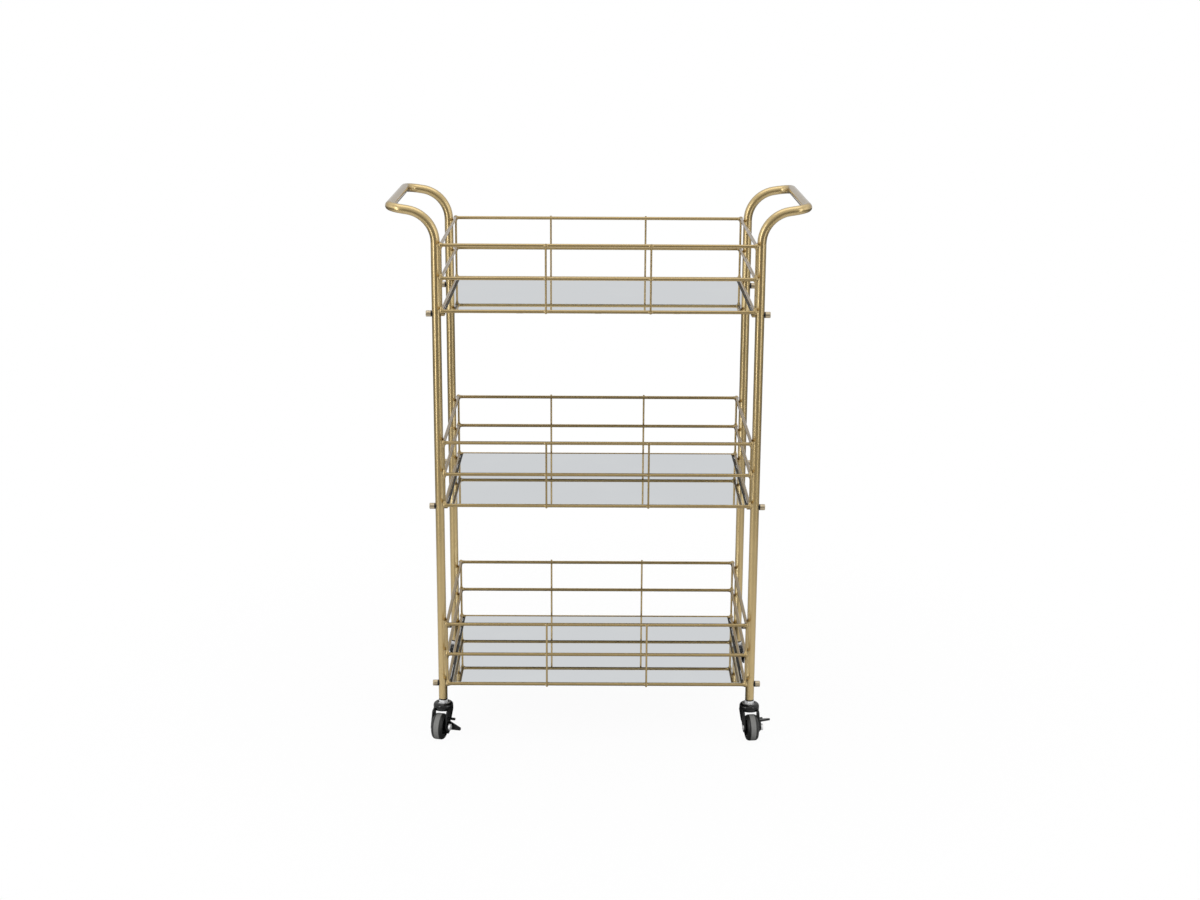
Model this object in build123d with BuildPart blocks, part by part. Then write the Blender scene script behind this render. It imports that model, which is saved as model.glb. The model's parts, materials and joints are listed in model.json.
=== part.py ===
from build123d import *
import os
from math import cos, hypot, pi, radians, sin, tan

# A three-tier rolling bar cart. Two side frames, each one bent tube, carry three wire trays with
# mirror shelves. Four swivel casters carry the frames, and the front two have a brake lever.
# Millimetres. Z is up from the floor, X is to the right seen from the front, -Y is the front.

# Side frames
post_spacing_x = 565.0
post_spacing_y = 306.0
tube_diameter = 16.0
tube_wall = 1.2
leg_below_bolts = 29.5
bend_above_rails = 1.0
knee_radius = 56.5
arm_rise_angle = 8.5
arm_straight = 7.0
grip_corner_radius = 25.0

# Wire trays
tray_depth = 360.0
lower_tray_spacing = 339.0
upper_tray_spacing = 350.0
basket_height = 115.0
rail_levels = 3
rail_diameter = 6.0
corner_diameter = 4.0
corner_proud = 1.5
upright_diameter = 3.5
upright_proud = 1.0
wire_rounding = 1.0
strap_count = 3
strap_width = 12.0
strap_thickness = 1.5
strap_seat_angle = 45.0

# Shelves
board_thickness = 2.0
mirror_thickness = 2.0
mirror_bevel = 0.8
mirror_end_strip = 4.0
mirror_side_strip = 0.5

# Bolts between trays and posts
bolt_below_rails = 9.0
bolt_diameter = 5.0
bolt_head_diameter = 11.0
bolt_head_length = 8.6
bolt_head_rounding = 1.2
bolt_socket_flats = 4.0
bolt_socket_depth = 3.0
saddle_thickness = 1.8
lug_width = 9.0
lug_thickness = 6.0
lug_lap = 0.5
bolt_tip = 1.5

# Casters
wheel_diameter = 48.0
tread_width = 21.0
tread_crown = 60.0
tread_shoulder = 4.0
tyre_thickness = 6.5
hub_rim = 3.0
hub_web = 6.0
hub_boss_diameter = 14.0
caster_trail = 22.0
wheel_side_gap = 1.8
crown_diameter = 36.4
crown_clearance = 3.5
crown_thickness = 4.2
crown_band = 6.0
crown_groove = 0.8
crown_lip = 1.8
dome_rise = 2.4
leg_thickness = 2.7
leg_root = 4.0
leg_flare = 4.5
leg_flare_length = 8.0
leg_front = 22.0
leg_rear = 2.5
leg_front_drop = 3.5
leg_edge = 1.0
leg_corner = 5.0
axle_boss_diameter = 18.0
axle_diameter = 6.0
axle_head_diameter = 10.0
axle_head_length = 1.2
axle_head_rounding = 0.8
ball_diameter = 3.2
disc_diameter = 20.4
disc_thickness = 1.8
hexagon_flats = 15.0
hexagon_height = 8.0
stem_diameter = 10.0
kingpin_diameter = 8.0
rivet_diameter = 11.0
rivet_thickness = 4.5
plug_collar = 2.5
plug_roof = 3.0
front_left_swivel = -14.0
front_right_swivel = 7.5
rear_left_swivel = 140.0

# Brake levers of the front casters
lever_hub_diameter = 12.0
lever_lobe_diameter = 15.6
lever_lobe_offset = 4.5
lever_thickness = 2.0
lever_arm_width = 10.0
lever_reach = 12.5
tab_length = 20.8
tab_thickness = 3.4
tab_root_width = 15.6
tab_tip_width = 4.7
lever_raised = 13.0
lever_pressed = 98.0
lever_nut_diameter = 12.0
lever_nut_length = 3.6
peg_diameter = 5.0
peg_length = 9.0
peg_angle = 60.0

# Clearances
weld_gap = 0.05
shelf_gap = 0.5
bolt_gap = 0.25
plug_gap = 0.1
end_gap = 2.5
shaft_gap = 0.06
turning_gap = 0.35

# Derived sizes of the frame
post_x = post_spacing_x / 2
post_y = post_spacing_y / 2
tube_radius = tube_diameter / 2
rail_radius = rail_diameter / 2
end_rail_x = post_x - tube_radius - rail_radius - weld_gap
tray_length = 2 * end_rail_x
rail_spacing = basket_height / (rail_levels - 1)
bolt_hole_radius = bolt_diameter / 2 + bolt_gap

# Heights in a caster, from the floor up to the end of the leg
wheel_radius = wheel_diameter / 2
crown_bottom = wheel_diameter + crown_clearance
race_floor = crown_bottom + crown_thickness
ball_height = race_floor + weld_gap + ball_diameter / 2
disc_bottom = ball_height + ball_diameter / 2 + turning_gap
hexagon_bottom = disc_bottom + disc_thickness
hexagon_top = hexagon_bottom + hexagon_height
leg_end = hexagon_top + plug_collar

# Heights of the trays, each at the axis of its lowest rails
bottom_tray = leg_end + leg_below_bolts + bolt_below_rails
middle_tray = bottom_tray + lower_tray_spacing
top_tray = middle_tray + upper_tray_spacing
tray_heights = {"bottom": bottom_tray, "middle": middle_tray, "top": top_tray}

# The bent handle above the top tray
arm_rise = radians(arm_rise_angle)
knee_tangent = knee_radius * tan((pi / 2 - arm_rise) / 2)
knee_height = top_tray + basket_height + bend_above_rails + knee_tangent
arm_length = knee_tangent + arm_straight + grip_corner_radius
grip_x = post_x + arm_length * cos(arm_rise)
grip_height = knee_height + arm_length * sin(arm_rise)

# Widths in a caster
fork_inner = tread_width / 2 + wheel_side_gap
fork_outer = fork_inner + leg_thickness
lever_inner = fork_outer + turning_gap
lever_outer = lever_inner + lever_thickness

os.makedirs("parts", exist_ok=True)


def finish(piece, name):
    piece.part.label = name
    export_step(piece.part, f"parts/{name}.step")


# Each side frame is one tube: front post, knee, arm, grip, arm, knee and rear post.
def side_frame(name, side):
    with BuildPart() as frame:
        with BuildLine():
            FilletPolyline(
                (side * post_x, -post_y, leg_end),
                (side * post_x, -post_y, knee_height),
                (side * grip_x, -post_y, grip_height),
                (side * grip_x, post_y, grip_height),
                (side * post_x, post_y, knee_height),
                (side * post_x, post_y, leg_end),
                radius=[knee_radius, grip_corner_radius, grip_corner_radius, knee_radius],
            )
        with BuildSketch(Plane((side * post_x, -post_y, leg_end))):
            Circle(tube_radius)
            Circle(tube_radius - tube_wall, mode=Mode.SUBTRACT)
        sweep()
        for height in tray_heights.values():
            with Locations((side * post_x, 0, height - bolt_below_rails)):
                with GridLocations(1, post_spacing_y, 1, 2):
                    Cylinder(bolt_hole_radius, 2 * tube_diameter, rotation=(0, 90, 0), mode=Mode.SUBTRACT)
    finish(frame, name)


side_frame("left_side_frame", -1)
side_frame("right_side_frame", 1)


# The rails of a tray run along the X axis of the given plane, in two rows. Their ends are mitred and
# coped around the corner posts they are welded to.
def rail_rows(name, plane, span, spread):
    with BuildPart() as rails:
        with BuildSketch(Plane.YZ.offset(-span / 2)):
            with Locations((0, basket_height / 2)):
                with GridLocations(spread, rail_spacing, 2, rail_levels):
                    Circle(rail_radius)
        extrude(amount=span)
        tip = span / 2 - weld_gap
        with BuildSketch(Plane.XY.offset(-rail_diameter)):
            with GridLocations(1, spread, 1, 2):
                Polygon(
                    (-tip, 0),
                    (-tip + rail_diameter, -rail_diameter),
                    (tip - rail_diameter, -rail_diameter),
                    (tip, 0),
                    (tip - rail_diameter, rail_diameter),
                    (-tip + rail_diameter, rail_diameter),
                    align=None,
                )
        extrude(amount=basket_height + 2 * rail_diameter, mode=Mode.INTERSECT)
        with GridLocations(span, spread, 2, 2):
            Cylinder(corner_diameter / 2 + weld_gap, 4 * basket_height, mode=Mode.SUBTRACT)
    with BuildPart(plane) as placed:
        add(rails.part)
    finish(placed, name)


# Upright wires of a tray: corner posts inside the rail ends, and uprights outside the rails.
def upright_wires(name, bottom, diameter, length, spacing_x, spacing_y):
    with BuildPart() as wires:
        with BuildSketch(Plane.XY.offset(bottom)):
            with GridLocations(spacing_x, spacing_y, 2, 2):
                Circle(diameter / 2)
        extrude(amount=length)
        fillet(wires.edges().group_by(Axis.Z)[-1], radius=wire_rounding)
    finish(wires, name)


def shelf(name, bottom, thickness, length, depth, bevel):
    with BuildPart() as plate:
        with BuildSketch(Plane.XY.offset(bottom)):
            Rectangle(length, depth)
        extrude(amount=thickness)
        if bevel:
            chamfer(plate.edges().group_by(Axis.Z)[-1], length=bevel)
    finish(plate, name)


# The bolts lie along X at the four posts. Their local X axis points outward from the post's axis.
head_seat = tube_radius + weld_gap + saddle_thickness
lug_face = tube_radius + weld_gap

with BuildPart() as bolt:
    with BuildSketch(Plane.YZ.offset(head_seat)):
        Circle(bolt_head_diameter / 2)
    extrude(amount=bolt_head_length)
    fillet(bolt.edges().group_by(Axis.X)[-1], radius=bolt_head_rounding)
    with BuildSketch(Plane.YZ.offset(head_seat + bolt_head_length)):
        RegularPolygon(bolt_socket_flats / 2, 6, major_radius=False)
    extrude(amount=-bolt_socket_depth, mode=Mode.SUBTRACT)
    with BuildSketch(Plane.YZ.offset(head_seat)):
        Circle(bolt_diameter / 2)
    extrude(amount=-(head_seat + lug_face + lug_thickness + bolt_tip))

with BuildPart() as saddle:
    with BuildSketch(Plane.YZ):
        Circle(bolt_head_diameter / 2)
        Circle(bolt_hole_radius, mode=Mode.SUBTRACT)
    extrude(amount=head_seat - weld_gap)
    Cylinder(tube_radius + weld_gap, 2 * bolt_head_diameter, mode=Mode.SUBTRACT)

# A threaded lug hangs under the lowest end rail, and its top is hollowed to fit around the rail.
lug_top = bolt_below_rails - rail_radius + lug_lap

with BuildPart() as lug:
    with BuildSketch(Plane.YZ.offset(-lug_face)):
        Circle(lug_width / 2)
        with Locations((0, lug_top / 2)):
            Rectangle(lug_width, lug_top)
        Circle(bolt_diameter / 2 + weld_gap, mode=Mode.SUBTRACT)
    extrude(amount=-lug_thickness)
    with Locations((end_rail_x - post_x, 0, bolt_below_rails)):
        Cylinder(rail_radius + weld_gap, 2 * lug_width, rotation=(90, 0, 0), mode=Mode.SUBTRACT)


def on_posts(name, piece, height):
    seats = [
        Plane((side * post_x, y, height), x_dir=(side, 0, 0))
        for side in (-1, 1)
        for y in (-post_y, post_y)
    ]
    with BuildPart(*seats) as placed:
        add(piece.part)
    finish(placed, name)


# The straps under a shelf lie between the lowest long rails and meet them below their inner sides.
strap_seat = rail_radius + weld_gap

for tray, height in tray_heights.items():
    rail_rows(f"{tray}_long_rails", Plane((0, 0, height)), tray_length, tray_depth)
    rail_rows(f"{tray}_end_rails", Plane((0, 0, height), x_dir=(0, 1, 0)), tray_depth, tray_length)

    wire_bottom = height - rail_radius
    wire_height = basket_height + rail_diameter
    upright_spacing = tray_depth + rail_diameter + upright_diameter + 2 * weld_gap
    upright_wires(
        f"{tray}_corner_posts",
        wire_bottom,
        corner_diameter,
        wire_height + corner_proud,
        tray_length,
        tray_depth,
    )
    upright_wires(
        f"{tray}_uprights",
        wire_bottom,
        upright_diameter,
        wire_height + upright_proud,
        tray_length / 3,
        upright_spacing,
    )

    strap_top = height - strap_seat * sin(radians(strap_seat_angle))
    strap_length = tray_depth - 2 * strap_seat * cos(radians(strap_seat_angle))
    with BuildPart() as straps:
        with BuildSketch(Plane.XY.offset(strap_top - strap_thickness)):
            with GridLocations(tray_length / (strap_count + 1), 1, strap_count, 1):
                Rectangle(strap_width, strap_length)
        extrude(amount=strap_thickness)
    finish(straps, f"{tray}_straps")

    board_length = tray_length - rail_diameter - 2 * shelf_gap
    board_depth = tray_depth - rail_diameter - 2 * shelf_gap
    mirror_length = board_length - 2 * mirror_end_strip
    mirror_depth = board_depth - 2 * mirror_side_strip
    board_bottom = strap_top + weld_gap
    mirror_bottom = board_bottom + board_thickness
    shelf(f"{tray}_board", board_bottom, board_thickness, board_length, board_depth, 0)
    shelf(f"{tray}_mirror", mirror_bottom, mirror_thickness, mirror_length, mirror_depth, mirror_bevel)

    on_posts(f"{tray}_bolts", bolt, height - bolt_below_rails)
    on_posts(f"{tray}_saddle_washers", saddle, height - bolt_below_rails)
    on_posts(f"{tray}_lugs", lug, height - bolt_below_rails)

# A plug closes the end of each leg and holds the stem of its caster.
plug_length = leg_below_bolts - bolt_hole_radius - end_gap
bore_depth = plug_collar + plug_length - plug_roof

with BuildPart() as leg_plugs:
    with BuildSketch(Plane.XY.offset(hexagon_top)):
        with GridLocations(post_spacing_x, post_spacing_y, 2, 2):
            Circle(tube_radius)
    extrude(amount=plug_collar)
    with BuildSketch(Plane.XY.offset(leg_end)):
        with GridLocations(post_spacing_x, post_spacing_y, 2, 2):
            Circle(tube_radius - tube_wall - plug_gap)
    extrude(amount=plug_length)
    with BuildSketch(Plane.XY.offset(hexagon_top)):
        with GridLocations(post_spacing_x, post_spacing_y, 2, 2):
            Circle(stem_diameter / 2 + weld_gap)
    extrude(amount=bore_depth, mode=Mode.SUBTRACT)
finish(leg_plugs, "leg_plugs")

# One caster is drawn with its swivel axis on the Z axis and its wheel trailing towards -Y.
rivet_bottom = crown_bottom - turning_gap - rivet_thickness

with BuildPart() as stem:
    with BuildSketch(Plane.XY.offset(hexagon_bottom)):
        RegularPolygon(hexagon_flats / 2, 6, major_radius=False)
    extrude(amount=hexagon_height)
    with BuildSketch(Plane.XY.offset(hexagon_top)):
        Circle(stem_diameter / 2)
    extrude(amount=bore_depth - end_gap)
    with BuildSketch(Plane.XY.offset(disc_bottom)):
        Circle(disc_diameter / 2)
    extrude(amount=disc_thickness)
    with BuildSketch(Plane.XY.offset(rivet_bottom)):
        Circle(kingpin_diameter / 2)
    extrude(amount=disc_bottom - rivet_bottom)
    with BuildSketch(Plane.XY.offset(rivet_bottom)):
        Circle(rivet_diameter / 2)
    extrude(amount=rivet_thickness)

ball_pitch_radius = (kingpin_diameter + disc_diameter) / 4
ball_count = int(2 * pi * ball_pitch_radius / (1.2 * ball_diameter))

with BuildPart() as bearing_balls:
    with Locations((0, 0, ball_height)):
        with PolarLocations(ball_pitch_radius, ball_count):
            Sphere(ball_diameter / 2)


# Planes across the axle, at a distance from the middle of the wheel.
def across_axle(distance):
    return Plane((distance, -caster_trail, wheel_radius), x_dir=(0, 1, 0), z_dir=(1, 0, 0))


wheel_plane = Plane((0, -caster_trail, wheel_radius), x_dir=(1, 0, 0), z_dir=(0, -1, 0))
wheel_axis = Axis((0, -caster_trail, wheel_radius), (1, 0, 0))

# The fork is a domed crown with two legs, which stand close to the wheel at the axle and flare out to the
# sides of the crown. A front fork also has a peg, just outside the lever's sweep.
lever_sweep = hypot(tab_root_width / 2, lever_reach + tab_thickness / 2)
peg_radius = lever_sweep + turning_gap + peg_diameter / 2
peg_y = peg_radius * sin(radians(peg_angle))
peg_z = peg_radius * cos(radians(peg_angle))
kingpin_bore = kingpin_diameter / 2 + shaft_gap
dome_radius = crown_diameter / 2
dome_opening = disc_diameter / 2 + turning_gap
dome_top = hexagon_bottom + dome_rise
band_top = crown_bottom + crown_band
groove_radius = dome_radius - crown_groove
groove_top = band_top + crown_groove
leg_top = band_top - wheel_radius - leg_corner
flare_start = lever_sweep + turning_gap - caster_trail
flare_end = flare_start + leg_flare_length
flare_outer = fork_outer + leg_flare
flare_inner = flare_outer - leg_root

with BuildPart() as fork_leg:
    with BuildSketch(across_axle(fork_inner)):
        Circle(axle_boss_diameter / 2)
        with Locations(
            (caster_trail - leg_front + leg_corner, leg_top - leg_front_drop),
            (caster_trail + leg_rear - leg_corner, leg_top),
        ):
            Circle(leg_corner)
        with Locations((peg_y, peg_z)):
            Circle(peg_diameter / 2 + leg_edge)
        make_hull()
    extrude(amount=leg_thickness + leg_flare)
    with BuildSketch(Plane.XY) as flare:
        Polygon(
            (fork_inner, -2 * wheel_diameter),
            (fork_outer, -2 * wheel_diameter),
            (fork_outer, flare_start),
            (flare_outer, flare_end),
            (flare_outer, wheel_diameter),
            (flare_inner, wheel_diameter),
            (flare_inner, flare_end),
            (fork_inner, flare_start),
            align=None,
        )
        bends = flare.vertices().filter_by_position(Axis.Y, -caster_trail, caster_trail)
        fillet(bends, radius=leg_flare_length)
    extrude(amount=2 * wheel_diameter, mode=Mode.INTERSECT)
    outer_faces = fork_leg.faces().filter_by(lambda face: face.normal_at().X > 0.5)
    fillet(outer_faces.edges().filter_by(Axis.Z, reverse=True), radius=leg_edge)


def caster_fork(braked):
    with BuildPart() as fork:
        add(fork_leg.part)
        mirror(fork_leg.part, about=Plane.YZ)
        with BuildSketch(Plane.XZ):
            with BuildLine():
                Polyline(
                    (kingpin_bore, crown_bottom),
                    (dome_radius, crown_bottom),
                    (dome_radius, band_top),
                    (groove_radius, band_top),
                    (groove_radius, groove_top),
                    (dome_radius, groove_top),
                )
                TangentArc(
                    (dome_radius, groove_top),
                    (dome_opening + crown_lip, dome_top),
                    tangent=(0, 1),
                )
                Polyline(
                    (dome_opening + crown_lip, dome_top),
                    (dome_opening, dome_top),
                    (dome_opening, race_floor),
                    (kingpin_bore, race_floor),
                    (kingpin_bore, crown_bottom),
                )
            make_face()
        revolve(axis=Axis.Z)
        with BuildSketch(across_axle(-2 * fork_outer)):
            Circle(axle_diameter / 2 + weld_gap)
        extrude(amount=4 * fork_outer, mode=Mode.SUBTRACT)
        if braked:
            with BuildSketch(across_axle(fork_inner + leg_thickness / 2)):
                with Locations((peg_y, peg_z)):
                    Circle(peg_diameter / 2)
            extrude(amount=leg_thickness / 2 + peg_length)
    return fork


# A rubber tyre with a crowned tread and rounded shoulders, on a plastic hub with a thin web.
hub_radius = wheel_radius - tyre_thickness

with BuildPart() as tyre:
    with BuildSketch(wheel_plane) as tyre_section:
        with Locations((0, hub_radius + tyre_thickness / 2)):
            Rectangle(tread_width, tyre_thickness)
        with Locations((0, wheel_radius - tread_crown)):
            Circle(tread_crown, mode=Mode.INTERSECT)
        fillet(tyre_section.vertices().group_by(Axis.Y)[-1], radius=tread_shoulder)
    revolve(axis=wheel_axis)

hub_bore = axle_diameter / 2 + shaft_gap
hub_half = fork_inner - turning_gap
rim_half = tread_width / 2 - hub_rim / 2
rim_inside = hub_radius - hub_rim

with BuildPart() as hub:
    with BuildSketch(wheel_plane):
        with Locations((0, (hub_bore + hub_radius - weld_gap) / 2)):
            Rectangle(hub_web, hub_radius - weld_gap - hub_bore)
        with Locations((0, (hub_bore + hub_boss_diameter / 2) / 2)):
            Rectangle(2 * hub_half, hub_boss_diameter / 2 - hub_bore)
        with Locations((0, (rim_inside + hub_radius - weld_gap) / 2)):
            Rectangle(2 * rim_half, hub_radius - weld_gap - rim_inside)
    revolve(axis=wheel_axis)


# The axle has a head on both sides. On a front caster the right one also holds the brake lever.
def caster_axle(right_seat, right_diameter, right_length):
    with BuildPart() as axle:
        with BuildSketch(across_axle(-fork_outer)):
            Circle(axle_head_diameter / 2)
        extrude(amount=-axle_head_length)
        with BuildSketch(across_axle(-fork_outer)):
            Circle(axle_diameter / 2)
        extrude(amount=fork_outer + right_seat)
        with BuildSketch(across_axle(right_seat)):
            Circle(right_diameter / 2)
        extrude(amount=right_length)
        for end in (0, -1):
            fillet(axle.edges().group_by(Axis.X)[end], radius=axle_head_rounding)
    return axle


# The lever is drawn upright, with the axle on its local X axis. It is a plate with a lobe at the rear and
# a foot tab that tapers towards its straight rear edge. Both lever angles count from upright to the rear.
tab_end = lever_inner + tab_length

with BuildPart() as lever:
    with BuildSketch(Plane.YZ.offset(lever_inner)):
        Circle(lever_hub_diameter / 2)
        with Locations((lever_lobe_offset, 0)):
            Circle(lever_lobe_diameter / 2)
        with Locations((0, lever_reach / 2)):
            Rectangle(lever_arm_width, lever_reach)
        Circle(axle_diameter / 2 + shaft_gap, mode=Mode.SUBTRACT)
    extrude(amount=lever_thickness)
    with BuildSketch(Plane.XY.offset(lever_reach - tab_thickness / 2)) as tab:
        Polygon(
            (lever_inner, -tab_root_width / 2),
            (tab_end, tab_root_width / 2 - tab_tip_width),
            (tab_end, tab_root_width / 2),
            (lever_inner, tab_root_width / 2),
            align=None,
        )
        fillet(tab.vertices().group_by(Axis.X)[-1], radius=tab_tip_width / 3)
    extrude(amount=tab_thickness)

plain_pieces = {
    "fork": caster_fork(False),
    "axle": caster_axle(fork_outer, axle_head_diameter, axle_head_length),
}
braked_pieces = {
    "fork": caster_fork(True),
    "axle": caster_axle(lever_outer + turning_gap, lever_nut_diameter, lever_nut_length),
}
shared_pieces = {"stem": stem, "bearing_balls": bearing_balls, "tyre": tyre, "hub": hub}

# Position, swivel angle and lever angle of each caster. The left lever is pressed, the right one raised.
casters = {
    "front_left": (-post_x, -post_y, front_left_swivel, lever_pressed),
    "front_right": (post_x, -post_y, front_right_swivel, lever_raised),
    "rear_left": (-post_x, post_y, rear_left_swivel, None),
    "rear_right": (post_x, post_y, 180 - front_right_swivel, None),
}

for corner, (x, y, swivel, lever_angle) in casters.items():
    forward = (cos(radians(swivel)), sin(radians(swivel)), 0)
    caster_plane = Plane((x, y, 0), x_dir=forward)
    own_pieces = plain_pieces if lever_angle is None else braked_pieces
    for piece_name, piece in {**shared_pieces, **own_pieces}.items():
        with BuildPart(caster_plane) as placed:
            add(piece.part)
        finish(placed, f"{corner}_{piece_name}")
    if lever_angle is not None:
        axle_middle = caster_plane.from_local_coords((0, -caster_trail, wheel_radius))
        with BuildPart(Plane(axle_middle, x_dir=forward)) as placed_lever:
            add(lever.part, rotation=(-lever_angle, 0, 0))
        finish(placed_lever, f"{corner}_brake_lever")
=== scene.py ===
# %% [markdown]
# # A rolling bar cart
# The cart is two bent gold tubes, three wire trays with mirror shelves and four black casters.
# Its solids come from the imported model, in metres, and stay where they are. This lesson gives each
# solid its finish, and models by hand what a plain solid lacks: welds, and the tyres and hubs of the
# wheels.

# %% Load the cart
import json
import bpy
from math import atan2, cos, degrees, hypot, pi, radians, sin
from mathutils import Matrix, Vector


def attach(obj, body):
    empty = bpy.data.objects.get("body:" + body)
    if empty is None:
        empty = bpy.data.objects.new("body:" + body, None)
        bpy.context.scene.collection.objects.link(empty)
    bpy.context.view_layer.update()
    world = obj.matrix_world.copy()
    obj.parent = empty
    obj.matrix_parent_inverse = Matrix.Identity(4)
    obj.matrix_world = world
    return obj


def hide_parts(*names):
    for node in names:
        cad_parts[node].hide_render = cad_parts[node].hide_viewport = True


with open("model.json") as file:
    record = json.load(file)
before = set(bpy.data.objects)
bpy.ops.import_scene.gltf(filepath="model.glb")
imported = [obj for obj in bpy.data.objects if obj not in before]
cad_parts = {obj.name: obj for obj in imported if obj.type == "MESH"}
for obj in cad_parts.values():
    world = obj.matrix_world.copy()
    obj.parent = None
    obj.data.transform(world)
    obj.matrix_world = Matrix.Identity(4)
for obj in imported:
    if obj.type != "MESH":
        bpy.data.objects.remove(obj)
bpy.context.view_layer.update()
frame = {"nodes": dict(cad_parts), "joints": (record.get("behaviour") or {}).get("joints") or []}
nodes = frame["nodes"]

# %% [markdown]
# ## The camera
# The photograph was taken from about 3.3 m in front of the cart and 1.4 m up, looking down by some
# 15 degrees. A camera could be placed by eye, but the whole picture depends on it, so its numbers come
# from a fit of the cart's sizes to the edges in the picture. A camera looks along its own -Z axis, so
# the three columns of its rotation are right, up and backward.

# %% Place the camera
photo_width = 1200
focal_pixels = 1832.95
pitch, yaw, roll = radians(14.679), radians(0.188), radians(0.29)
camera_place = (-0.00605, -3.30974, 1.37187)
sensor_width = 36

forward = Vector((sin(yaw) * cos(pitch), cos(yaw) * cos(pitch), -sin(pitch)))
level = Vector((cos(yaw), -sin(yaw), 0))
upright = level.cross(forward)
right = cos(roll) * level + sin(roll) * upright
up = cos(roll) * upright - sin(roll) * level

camera = bpy.data.objects.new("camera", bpy.data.cameras.new("camera"))
bpy.context.collection.objects.link(camera)
camera.data.sensor_width = sensor_width
camera.data.lens = sensor_width * focal_pixels / photo_width
facing = Matrix((right, up, -forward)).transposed().to_4x4()
camera.matrix_world = Matrix.Translation(camera_place) @ facing
bpy.context.scene.camera = camera
print("lens:", round(camera.data.lens, 2), "mm")

# %% [markdown]
# ## Sums in a shader
# A finish is a tree of nodes. Adding every Math node by hand hides the idea of a finish, so one small
# class wraps a socket: sums and products of such signals add the Math nodes, and its method node()
# adds any other node, first with its settings and then with the values or links of its sockets.

# %% The signal class
class Signal:
    def __init__(self, socket):
        self.socket = socket

    def node(self, kind, settings=None, sockets=None, output=0):
        tree = self.socket.id_data
        made = tree.nodes.new(kind)
        for name, value in (settings or {}).items():
            setattr(made, name, value)
        for name, value in (sockets or {}).items():
            if isinstance(value, Signal):
                tree.links.new(value.socket, made.inputs[name])
            else:
                made.inputs[name].default_value = value
        return Signal(made.outputs[output])

    def math(self, operation, first, second=0.0):
        return self.node("ShaderNodeMath", {"operation": operation}, {0: first, 1: second})

    def __add__(self, other):
        return self.math("ADD", self, other)

    def __sub__(self, other):
        return self.math("SUBTRACT", self, other)

    def __rsub__(self, other):
        return self.math("SUBTRACT", other, self)

    def __mul__(self, other):
        return self.math("MULTIPLY", self, other)

    def __abs__(self):
        return self.math("ABSOLUTE", self)

    __radd__ = __add__
    __rmul__ = __mul__

    def axis(self, index):
        return self.node("ShaderNodeSeparateXYZ", None, {0: self}, index)

    def between(self, low, high):
        return self.node("ShaderNodeMapRange", {"interpolation_type": "SMOOTHSTEP"},
                         {"Value": self, "From Min": low, "From Max": high})

    def blend(self, first, second):
        return self.node("ShaderNodeMix", {"data_type": "RGBA"}, {0: self, 6: first, 7: second}, 2)

    def noise(self, size, detail=2.0):
        return self.node("ShaderNodeTexNoise", None, {"Vector": self, "Scale": 1 / size, "Detail": detail})

    def relief(self, depth, strength=1.0):
        return self.node("ShaderNodeBump", None, {"Height": self, "Distance": depth, "Strength": strength})


# %% [markdown]
# A finish starts as one Principled shader. What is the same all over is set on its sockets, and what
# varies is linked to them. Object coordinates are metres on this cart, because every solid sits at the
# origin, so a spot size in a noise is a real size.

# %% Start a finish
finishes = {}


def rgb(red, green, blue):
    return (red, green, blue, 1.0)


def start_finish(name, constants):
    material = bpy.data.materials.new(name)
    material.use_nodes = True
    shader = material.node_tree.nodes["Principled BSDF"]
    for socket, value in constants.items():
        shader.inputs[socket].default_value = value
    coordinates = material.node_tree.nodes.new("ShaderNodeTexCoord")
    finishes[name] = material
    return shader, Signal(coordinates.outputs["Object"]), Signal(coordinates.outputs["Normal"])


def link_finish(shader, signals):
    for socket, signal in signals.items():
        shader.id_data.links.new(signal.socket, shader.inputs[socket])
    print("finish:", shader.id_data.name, "links", sorted(signals))


# %% [markdown]
# ## Satin gold
# Tubes and wires carry a gold lacquer with fine metal flakes. It could be a plain metal, but lacquer is
# duller, shows a slight orange peel, and has a clear coat that catches the lamps. Flakes vary the tone
# a little at a third of a millimetre, and a slow drift varies tone and gloss along a tube. The bolts are
# plated, not lacquered, and come out more like bronze.

# %% Gold finishes
def satin_gold(name, deep, bright, peel):
    shader, place, normal = start_finish(name, {
        "Metallic": 0.9,
        "Coat Weight": 1.0,
        "Coat Roughness": 0.12,
        "Specular Tint": rgb(0.42, 0.38, 0.34),
    })
    flakes = place.noise(0.00035)
    drift = place.noise(0.05, 3.0)
    tone = 0.5 + 0.12 * (flakes - 0.5) + 0.4 * (drift - 0.5)
    link_finish(shader, {
        "Base Color": tone.blend(deep, bright),
        "Roughness": 0.29 + 0.08 * (drift - 0.5) + 0.03 * (flakes - 0.5),
        "Normal": place.noise(peel, 1.0).relief(0.000006, 0.3),
    })


satin_gold("gold_tube", rgb(0.52, 0.38, 0.165), rgb(0.70, 0.53, 0.25), 0.0022)
satin_gold("gold_wire", rgb(0.375, 0.265, 0.105), rgb(0.50, 0.365, 0.157), 0.0016)
satin_gold("gold_bolt", rgb(0.42, 0.335, 0.205), rgb(0.60, 0.50, 0.34), 0.0012)

# %% [markdown]
# ## Mirror
# A shelf is silvered glass with a ground and polished rim. Clear glass over a metal plane would be
# slow and noisy, so the face is a very smooth grey metal with a faint haze, as wiped glass has.
# The rim is told apart by its normal: where it doesn't point straight up, it is bright greenish glass.

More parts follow.
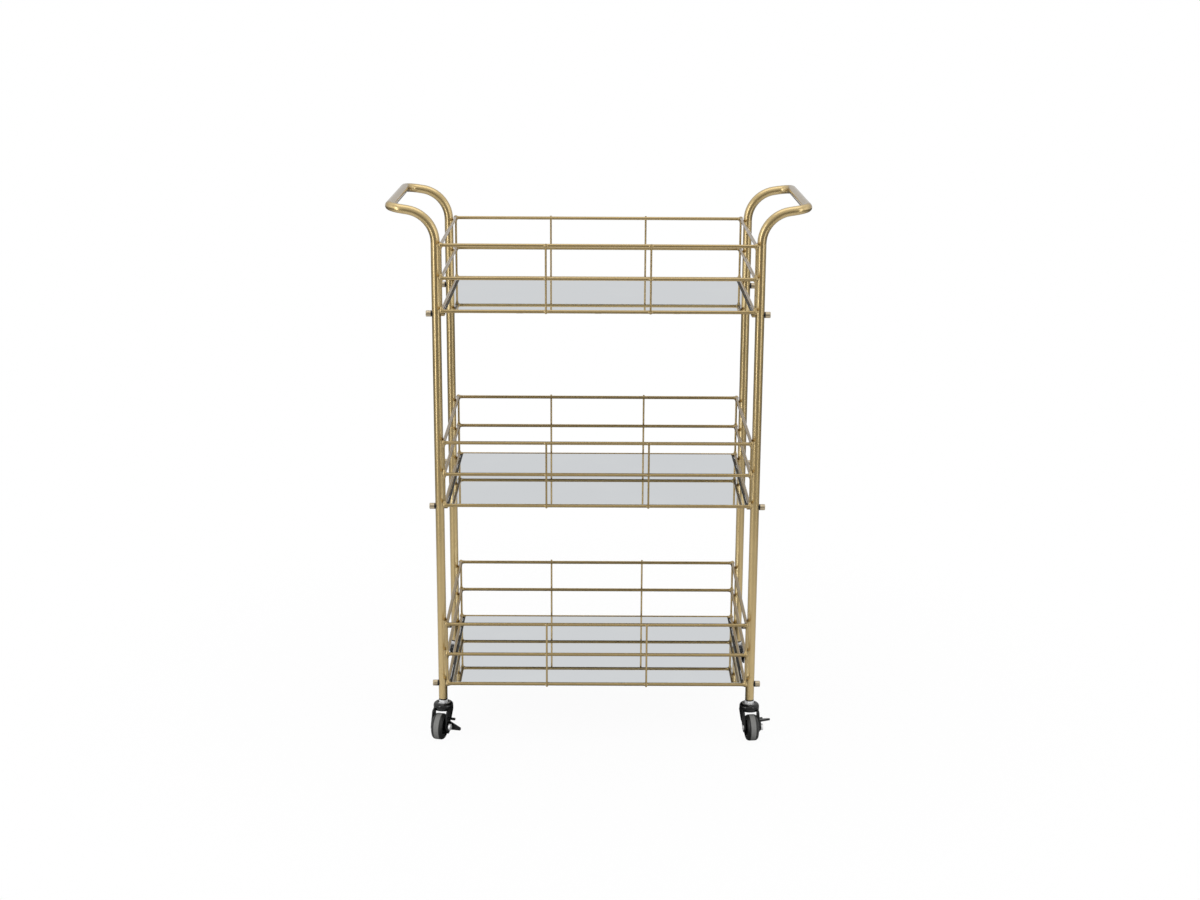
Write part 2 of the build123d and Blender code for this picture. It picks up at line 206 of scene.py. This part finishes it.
# %% Mirror finish
shader, place, normal = start_finish("mirror", {
    "Coat Weight": 0.05,
    "Specular Tint": rgb(0.96, 0.97, 0.98),
})
face = normal.axis(2).between(0.85, 0.95)
haze = place.noise(0.09, 4.0).between(0.45, 0.8)
silver = haze.blend(rgb(0.87, 0.895, 0.915), rgb(0.89, 0.915, 0.93))
link_finish(shader, {
    "Base Color": face.blend(rgb(0.62, 0.68, 0.65), silver),
    "Metallic": 0.35 + 0.65 * face,
    "Roughness": 0.12 - 0.105 * face + 0.012 * haze,
})

# %% [markdown]
# ## Black board
# Under each mirror lies thin hardboard, painted black. Its back has the weave of the screen it was
# pressed on, which two crossed waves give, and its fibres show as soft, small spots.

# %% Board finish
shader, place, normal = start_finish("black_board", {"Specular IOR Level": 0.4})
fibres = place.noise(0.0012, 4.0)
weave = [
    place.node("ShaderNodeTexWave", {"bands_direction": axis},
               {"Vector": place, "Scale": 90.0, "Distortion": 0.4, "Detail": 1.0}, 1)
    for axis in ("X", "Y")
]
link_finish(shader, {
    "Base Color": fibres.between(0.3, 0.75).blend(rgb(0.010, 0.010, 0.010), rgb(0.026, 0.025, 0.024)),
    "Roughness": 0.5 + 0.2 * fibres,
    "Normal": (weave[0] * weave[1] + 0.4 * fibres).relief(0.0001, 0.6),
})

# %% [markdown]
# ## Black plastic and black steel
# Forks, hubs and plugs are moulded nylon with a fine leather-like grain from the mould. The brake levers
# are pressed steel with a smoother black coat.

# %% Black finishes
def black_coat(name, deep, pale, grain, depth, dull, index):
    shader, place, normal = start_finish(name, {"IOR": index})
    skin = place.noise(grain, 3.0)
    bloom = place.noise(0.012, 3.0)
    link_finish(shader, {
        "Base Color": bloom.between(0.35, 0.75).blend(deep, pale),
        "Roughness": dull + 0.12 * (bloom - 0.5) + 0.1 * (skin - 0.5),
        "Normal": skin.relief(depth),
    })


black_coat("black_plastic", rgb(0.003, 0.003, 0.0033), rgb(0.007, 0.007, 0.0075),
           grain=0.0005, depth=0.00001, dull=0.13, index=1.48)
black_coat("black_steel", rgb(0.004, 0.004, 0.0045), rgb(0.010, 0.010, 0.011),
           grain=0.0011, depth=0.00002, dull=0.3, index=1.4)

# %% [markdown]
# ## Rubber
# The tyres are hard black rubber. The flat middle of the tread, which rolls on the floor, is a pale grey
# that is partly scuff and partly painted sheen, and the shoulders stay dark. The band could be a piece of
# its own, but it is only colour, so each tyre carries an attribute, how far across the tread a point lies,
# and the finish looks it up.

# %% Rubber finish
running_band, band_edge = 0.0046, 0.0004
shader, place, normal = start_finish("rubber", {"IOR": 1.45})
across = abs(place.node("ShaderNodeAttribute", {"attribute_name": "across"}, None, 2))
dust = place.noise(0.004, 4.0)
skin = place.noise(0.0007, 3.0)
# the pale running band is partly scuff and partly painted sheen
scuff_and_painted_sheen = (1 - across.between(running_band - band_edge, running_band + band_edge)) * (0.7 + 0.6 * dust)
link_finish(shader, {
    "Base Color": scuff_and_painted_sheen.blend(rgb(0.016, 0.016, 0.0155), rgb(0.22, 0.22, 0.213)),
    "Roughness": 0.35 + 0.25 * scuff_and_painted_sheen + 0.1 * (skin - 0.5),
    "Normal": skin.relief(0.00001),
})

# %% [markdown]
# ## Zinc
# Stems, axles and balls are steel with bright zinc. The plating has small cloudy crystals and fine marks
# from tumbling, so the gloss varies more than the colour does. The rivet head that closes each swivel
# under its crown is coloured a darker grey, and is found by its height above the floor.

# %% Zinc finish
rivet_low, rivet_high = 0.0465, 0.0525
shader, place, normal = start_finish("zinc", {"Metallic": 0.25})
crystals = place.node("ShaderNodeTexVoronoi", {"feature": "SMOOTH_F1"}, {"Vector": place, "Scale": 600.0})
marks = place.noise(0.0004, 2.0)
height = place.axis(2)
above_rivet = height.between(rivet_high - 0.0001, rivet_high + 0.0001)
# the rivet head under the crown is coloured a darker grey
darkened_rivet = height.between(rivet_low - 0.0005, rivet_low + 0.0005) * (1 - above_rivet)
plating = crystals.blend(rgb(0.90, 0.91, 0.92), rgb(0.98, 0.98, 0.97))
link_finish(shader, {
    "Base Color": darkened_rivet.blend(plating, rgb(0.10, 0.098, 0.095)),
    "Roughness": 0.2 + 0.16 * crystals + 0.12 * (marks - 0.5),
    "Normal": marks.relief(0.00001),
})

# %% [markdown]
# Each solid came with a plain material that is named for its finish, so the finish of that name goes
# into its slot.

# %% Dress the solids
for solid in nodes.values():
    slot = solid.material_slots[0]
    slot.material = finishes[slot.material.name.split(".")[0]]
print("dressed:", len(nodes), "solids in", len(finishes), "finishes")

# %% [markdown]
# ## Tools for modelling
# The pieces modelled here are turned, or grown out of a ball. A turned piece starts as one point, which
# is drawn out into the outline of its section and spun around the X axis, as on a lathe. What repeats
# is modelled once at the origin and copied into place.

# %% Modelling tools
def box_of(solid):
    corners = [Vector(corner) for corner in solid.bound_box]
    return Vector(map(min, zip(*corners))), Vector(map(max, zip(*corners)))


def turn_outline(name, outline, steps):
    bpy.ops.object.select_all(action="DESELECT")
    bpy.ops.mesh.primitive_plane_add(size=0.001)
    piece = bpy.context.object
    piece.name = name
    bpy.ops.object.mode_set(mode="EDIT")
    bpy.ops.mesh.select_mode(type="VERT")
    bpy.ops.mesh.select_all(action="SELECT")
    bpy.ops.mesh.merge(type="CENTER")
    points = [Vector((x, 0, radius)) / 1000 for x, radius in outline]
    bpy.ops.transform.translate(value=points[0])
    for here, there in zip(points, points[1:] + points[:1]):
        bpy.ops.mesh.extrude_vertices_move(TRANSFORM_OT_translate={"value": there - here})
    bpy.ops.mesh.select_all(action="SELECT")
    bpy.ops.mesh.spin(steps=steps, angle=2 * pi, center=(0, 0, 0), axis=(1, 0, 0))
    bpy.ops.mesh.select_all(action="SELECT")
    bpy.ops.mesh.remove_doubles(threshold=0.000005)
    bpy.ops.mesh.normals_make_consistent(inside=False)
    bpy.ops.object.mode_set(mode="OBJECT")
    return piece


def pick_faces(piece, wanted):
    bpy.ops.object.mode_set(mode="EDIT")
    bpy.ops.mesh.select_mode(type="FACE")
    bpy.ops.mesh.select_all(action="DESELECT")
    bpy.ops.object.mode_set(mode="OBJECT")
    for face in piece.data.polygons:
        face.select = wanted(face)
    bpy.ops.object.mode_set(mode="EDIT")


def settle(pattern, name, turn, place):
    bpy.ops.object.select_all(action="DESELECT")
    pattern.select_set(True)
    bpy.context.view_layer.objects.active = pattern
    bpy.ops.object.duplicate()
    copy = bpy.context.object
    copy.name = name
    copy.matrix_world = Matrix.Translation(place) @ turn.to_4x4()
    bpy.ops.object.transform_apply(location=True, rotation=True, scale=True)
    return copy


def hand_over(piece, finish, body, replaced=None):
    piece.data.materials.append(finishes[finish])
    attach(piece, body)
    if replaced:
        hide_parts(replaced)


# %% [markdown]
# ## Tyres
# A tyre is moulded in two halves, so a fine parting line runs around the middle of its flat running band.
# Its shoulders are round, a quarter of an ellipse, and a low rib on each side wall guards the rim. All of
# this is in the outline of the section, so turning it is the shortest way. The outline lists the place
# along the axle and the radius, in millimetres.

# %% Tyres
tyre_radius, shoulder_radius, wall, band = 24.0, 19.3, 10.4, 1000 * running_band
rib = [(wall - 0.4, 17.6), (wall, 18.0), (wall, 18.4), (wall - 0.3, 18.7), (wall - 0.3, 19.0)]
shoulder = [
    (band + (wall - band) * cos(turn), shoulder_radius + (tyre_radius - shoulder_radius) * sin(turn))
    for turn in (radians(angle) for angle in range(0, 91, 10))
]
parting = [(0.4, tyre_radius), (0.2, tyre_radius - 0.05)]
half_outline = rib + shoulder + parting
tyre_outline = half_outline + [(-x, radius) for x, radius in reversed(half_outline)]
tyre = turn_outline("tyre_pattern", tyre_outline, 96)
bpy.ops.object.shade_smooth_by_angle(angle=radians(35))
lateral = tyre.data.attributes.new("across", "FLOAT", "POINT")
lateral.data.foreach_set("value", [vertex.co.x for vertex in tyre.data.vertices])
print("tyre:", len(tyre.data.polygons), "faces")

# %% [markdown]
# ## Hubs
# A hub is moulded nylon: a rim, a thin web and a boss around the axle, with ribs on the web that keep the
# rim round. The ribs could be pieces of their own, but they are moulded in one with the web, so they are
# grown out of it after turning: every sixth part of the turn, two faces of the web are drawn outward.

# %% Hubs
bore, boss, rim_inside, rim_edge, seat = 3.06, 7.0, 14.5, 16.9, 17.45
boss_end, web_side, rim_side, bevel = 11.95, 3.0, 9.0, 0.6
half_hub = [
    (boss_end, bore), (boss_end, boss - bevel), (boss_end - bevel, boss),
    (web_side + bevel, boss), (web_side, boss + bevel), (web_side, rim_inside - bevel),
    (web_side + bevel, rim_inside), (rim_side - bevel, rim_inside), (rim_side, rim_inside + bevel),
    (rim_side, rim_edge), (rim_side - bevel, seat),
]
hub_outline = half_hub + [(-x, radius) for x, radius in reversed(half_hub)]
hub = turn_outline("hub_pattern", hub_outline, 72)
rib_pitch, rib_angle, rib_depth = 60, 10, 0.005


def on_rib(face, side):
    middle = face.center * 1000
    spoke = degrees(atan2(middle.y, middle.z)) % rib_pitch < rib_angle
    on_web = abs(middle.x - web_side * side) < 0.1 and boss < hypot(middle.y, middle.z) < rim_inside
    return spoke and on_web


for side in (-1, 1):
    pick_faces(hub, lambda face: on_rib(face, side))
    bpy.ops.mesh.extrude_region_move(TRANSFORM_OT_translate={"value": (rib_depth * side, 0, 0)})
    bpy.ops.object.mode_set(mode="OBJECT")
bpy.ops.object.shade_smooth_by_angle(angle=radians(35))
print("hub:", len(hub.data.polygons), "faces")

# %% [markdown]
# Each wheel turns about its axle, so the axle's place and direction say where a tyre and a hub go.

# %% Place the wheels
for joint in frame["joints"]:
    corner, ending = joint["child"].rsplit("_", 1)
    if ending == "wheel":
        turn = Matrix.Rotation(atan2(joint["axis"][1], joint["axis"][0]), 3, "Z")
        for pattern, finish in ((tyre, "rubber"), (hub, "black_plastic")):
            kind = pattern.name.split("_")[0]
            piece = settle(pattern, f"{corner}_{kind}_turned", turn, joint["pos_m"])
            hand_over(piece, finish, joint["child"], f"{corner}_{kind}")
        print("wheel:", corner)
for pattern in (tyre, hub):
    bpy.data.objects.remove(pattern)

# %% [markdown]
# ## Welds
# Where two rails meet at a corner post, the weld is ground to a round knuckle a little thicker than the
# wires. It starts as a ball. The faces that look along a wire are drawn out into a short collar around it,
# and then the whole is smoothed. Where an upright crosses a rail, the weld is a flat nugget with two toes
# along the rail. An arm is a direction, how far it is drawn out and how much slimmer its end is.

# %% Weld patterns
looks_along = 0.73


def weld_pattern(name, radii, arms):
    bpy.ops.object.select_all(action="DESELECT")
    bpy.ops.mesh.primitive_uv_sphere_add(segments=20, ring_count=14, radius=0.001)
    piece = bpy.context.object
    piece.name = name
    for direction, reach, slimmer in arms:
        way = Vector(direction)
        pick_faces(piece, lambda face: face.center.normalized().dot(way) > looks_along)
        bpy.ops.mesh.extrude_region_move(TRANSFORM_OT_translate={"value": way * reach * 0.001})
        bpy.ops.transform.resize(value=[slimmer if part == 0 else 0.2 for part in direction])
        bpy.ops.object.mode_set(mode="OBJECT")
    bpy.ops.object.mode_set(mode="EDIT")
    bpy.ops.mesh.select_all(action="SELECT")
    bpy.ops.mesh.vertices_smooth(factor=0.5, repeat=2)
    bpy.ops.transform.resize(value=radii, center_override=(0, 0, 0))
    bpy.ops.mesh.normals_make_consistent(inside=False)
    bpy.ops.object.mode_set(mode="OBJECT")
    bpy.ops.object.shade_smooth()
    print("weld:", name, len(piece.data.polygons), "faces")
    return piece


along_rails = [((-1, 0, 0), 1.1, 1.0), ((0, -1, 0), 1.1, 1.0)]
below, above = ((0, 0, -1), 1.1, 0.72), ((0, 0, 1), 1.1, 0.72)
round_size, flat_size = (4.6, 4.6, 4.6), (2.6, 1.7, 2.4)
top_knuckle = weld_pattern("top_knuckle", round_size, along_rails + [below])
middle_knuckle = weld_pattern("middle_knuckle", round_size, along_rails + [below, above])
bottom_knuckle = weld_pattern("bottom_knuckle", round_size, along_rails + [above])
nugget = weld_pattern("nugget", flat_size, [((-1, 0, 0), 0.7, 0.6), ((1, 0, 0), 0.7, 0.6)])

# %% [markdown]
# The knuckles of one tray sit on its four corner posts, each turned so that its collars follow the rails.
# The nuggets sit where the uprights touch the long rails. They are joined to one piece, which is copied to
# each tray.

# %% Place the welds
rails_low, rails_high = box_of(nodes["bottom_long_rails"])
posts_high = box_of(nodes["bottom_corner_posts"])[1]
uprights_high = box_of(nodes["bottom_uprights"])[1]
rail_radius, post_radius, upright_radius = 0.003, 0.002, 0.00175
post_x, post_y = posts_high.x - post_radius, posts_high.y - post_radius
upright_x = uprights_high.x - upright_radius
lowest, highest = rails_low.z + rail_radius, rails_high.z - rail_radius
levels = [(lowest, bottom_knuckle), ((lowest + highest) / 2, middle_knuckle), (highest, top_knuckle)]
straight = Matrix.Identity(3)
welds = []
for height, pattern in levels:
    for quarter, (side_x, side_y) in enumerate([(1, 1), (-1, 1), (-1, -1), (1, -1)]):
        turn = Matrix.Rotation(quarter * pi / 2, 3, "Z")
        place = Vector((side_x * post_x, side_y * post_y, height))
        welds.append(settle(pattern, "knuckle", turn, place))
        touch = Vector((side_x * upright_x, side_y * rails_high.y, height))
        welds.append(settle(nugget, "nugget_copy", straight, touch))
bpy.ops.object.select_all(action="DESELECT")
for weld in welds:
    weld.select_set(True)
bpy.context.view_layer.objects.active = welds[0]
bpy.ops.object.join()
tray_welds = bpy.context.object
for tray in ("bottom", "middle", "top"):
    rise = box_of(nodes[f"{tray}_long_rails"])[0].z - rails_low.z
    piece = settle(tray_welds, f"{tray}_welds", straight, Vector((0, 0, rise)))
    hand_over(piece, "gold_wire", "cart")
    print("welds:", tray, len(piece.data.polygons), "faces")
for pattern in (top_knuckle, middle_knuckle, bottom_knuckle, nugget, tray_welds):
    bpy.data.objects.remove(pattern)

# %% [markdown]
# ## The studio
# The cart stands on a pale floor in soft light. Two tall strip lamps stand halfway between the camera and
# the sides, which gives each tube its two bright lines, and a wide lamp above lights the top of every
# wire. The left strip is the stronger one, as in the photograph. The lamps would stand in the picture when
# the cart is seen from other sides, so they are hidden from the camera.

# %% Lamps
def softbox(name, place, target, width, height, power):
    lamp = bpy.data.objects.new(name, bpy.data.lights.new(name, "AREA"))
    bpy.context.collection.objects.link(lamp)
    lamp.data.shape = "RECTANGLE"
    lamp.data.size = width
    lamp.data.size_y = height
    lamp.data.energy = power
    lamp.location = place
    lamp.rotation_euler = (Vector(target) - Vector(place)).to_track_quat("-Z", "Y").to_euler()
    lamp.visible_camera = False
    print("lamp:", name, power, "W")


softbox("left strip", (-1.6, -1.55, 0.95), (0, 0, 0.55), width=0.6, height=2.0, power=12)
softbox("right strip", (1.6, -1.55, 0.95), (0, 0, 0.55), width=0.6, height=2.0, power=7)
softbox("top softbox", (0, -0.2, 3.2), (0, 0, 0.5), width=2.4, height=1.8, power=12)

# %% [markdown]
# ## The floor
# The floor's colour holds a painted pool of light around the cart and a painted shadow under and right
# behind it, which gives the legs their glow and the rails their dark lower sides. A white plane would be
# simpler, but it lights every wire from below.
# To the camera the floor is thin, so that only a faint shadow is left on the white.

# %% Floor
bpy.ops.object.select_all(action="DESELECT")
bpy.ops.mesh.primitive_plane_add(size=14)
floor = bpy.context.object
floor.name = "floor"

shader, place, normal = start_finish("floor", {"Roughness": 0.9, "Specular IOR Level": 0.0})
by_camera = place.node("ShaderNodeLightPath")
distance = place.node("ShaderNodeVectorMath", {"operation": "LENGTH"}, {0: place}, 1)
aside = abs(place.axis(0))
ahead = 0 - place.axis(1)
# painted shadow under and behind the cart, and a painted pool of light around it
painted_shadow_area = (1 - aside.between(0.28, 0.33)) * (1 - ahead.between(0.24, 0.34))
painted_light_pool = (1 - painted_shadow_area) * (1 - distance.between(0.4, 2.6))
painted_floor_light = painted_light_pool.blend(rgb(0.2, 0.2, 0.2), rgb(0.92, 0.92, 0.92))
link_finish(shader, {
    "Base Color": by_camera.blend(painted_floor_light, rgb(0.95, 0.95, 0.95)),
    "Alpha": 1 - by_camera * (0.96 + 0.04 * distance.between(0.5, 1.3)),
})
floor.data.materials.append(finishes["floor"])

# %% [markdown]
# ## The background
# The white background is what the camera sees of the world all around. Shiny things see a studio instead,
# told apart by the direction of the ray: bright side walls, a pale backdrop and ceiling, and a dimmer wall
# where the camera stands. The world's plain light on the cart stays lower than white.

# %% Background
world = bpy.data.worlds.new("studio")
bpy.context.scene.world = world
world.use_nodes = True
background = world.node_tree.nodes["Background"]
background.inputs["Color"].default_value = rgb(1, 1, 1)
path = world.node_tree.nodes.new("ShaderNodeLightPath")
direction = Signal(world.node_tree.nodes.new("ShaderNodeTexCoord").outputs["Generated"])
behind = direction.axis(1).between(-0.25, 0.35)
overhead = direction.axis(2).between(0.3, 0.8)
front_wall = direction.axis(2).between(0.05, 0.3) * (1 - behind)
sides = abs(direction.axis(0)).between(0.7, 0.95) * (1 - behind)
studio = 0.22 + 0.48 * behind + 0.3 * front_wall + 0.3 * overhead + 0.8 * sides
white = Signal(path.outputs["Is Camera Ray"]) + Signal(path.outputs["Is Transmission Ray"])
glossy = Signal(path.outputs["Is Glossy Ray"])
fill = 0.7
strength = white + glossy * studio + fill * (1 - white - glossy)
world.node_tree.links.new(strength.socket, background.inputs["Strength"])
bpy.context.scene.view_settings.view_transform = "Standard"
print("studio: floor and background")
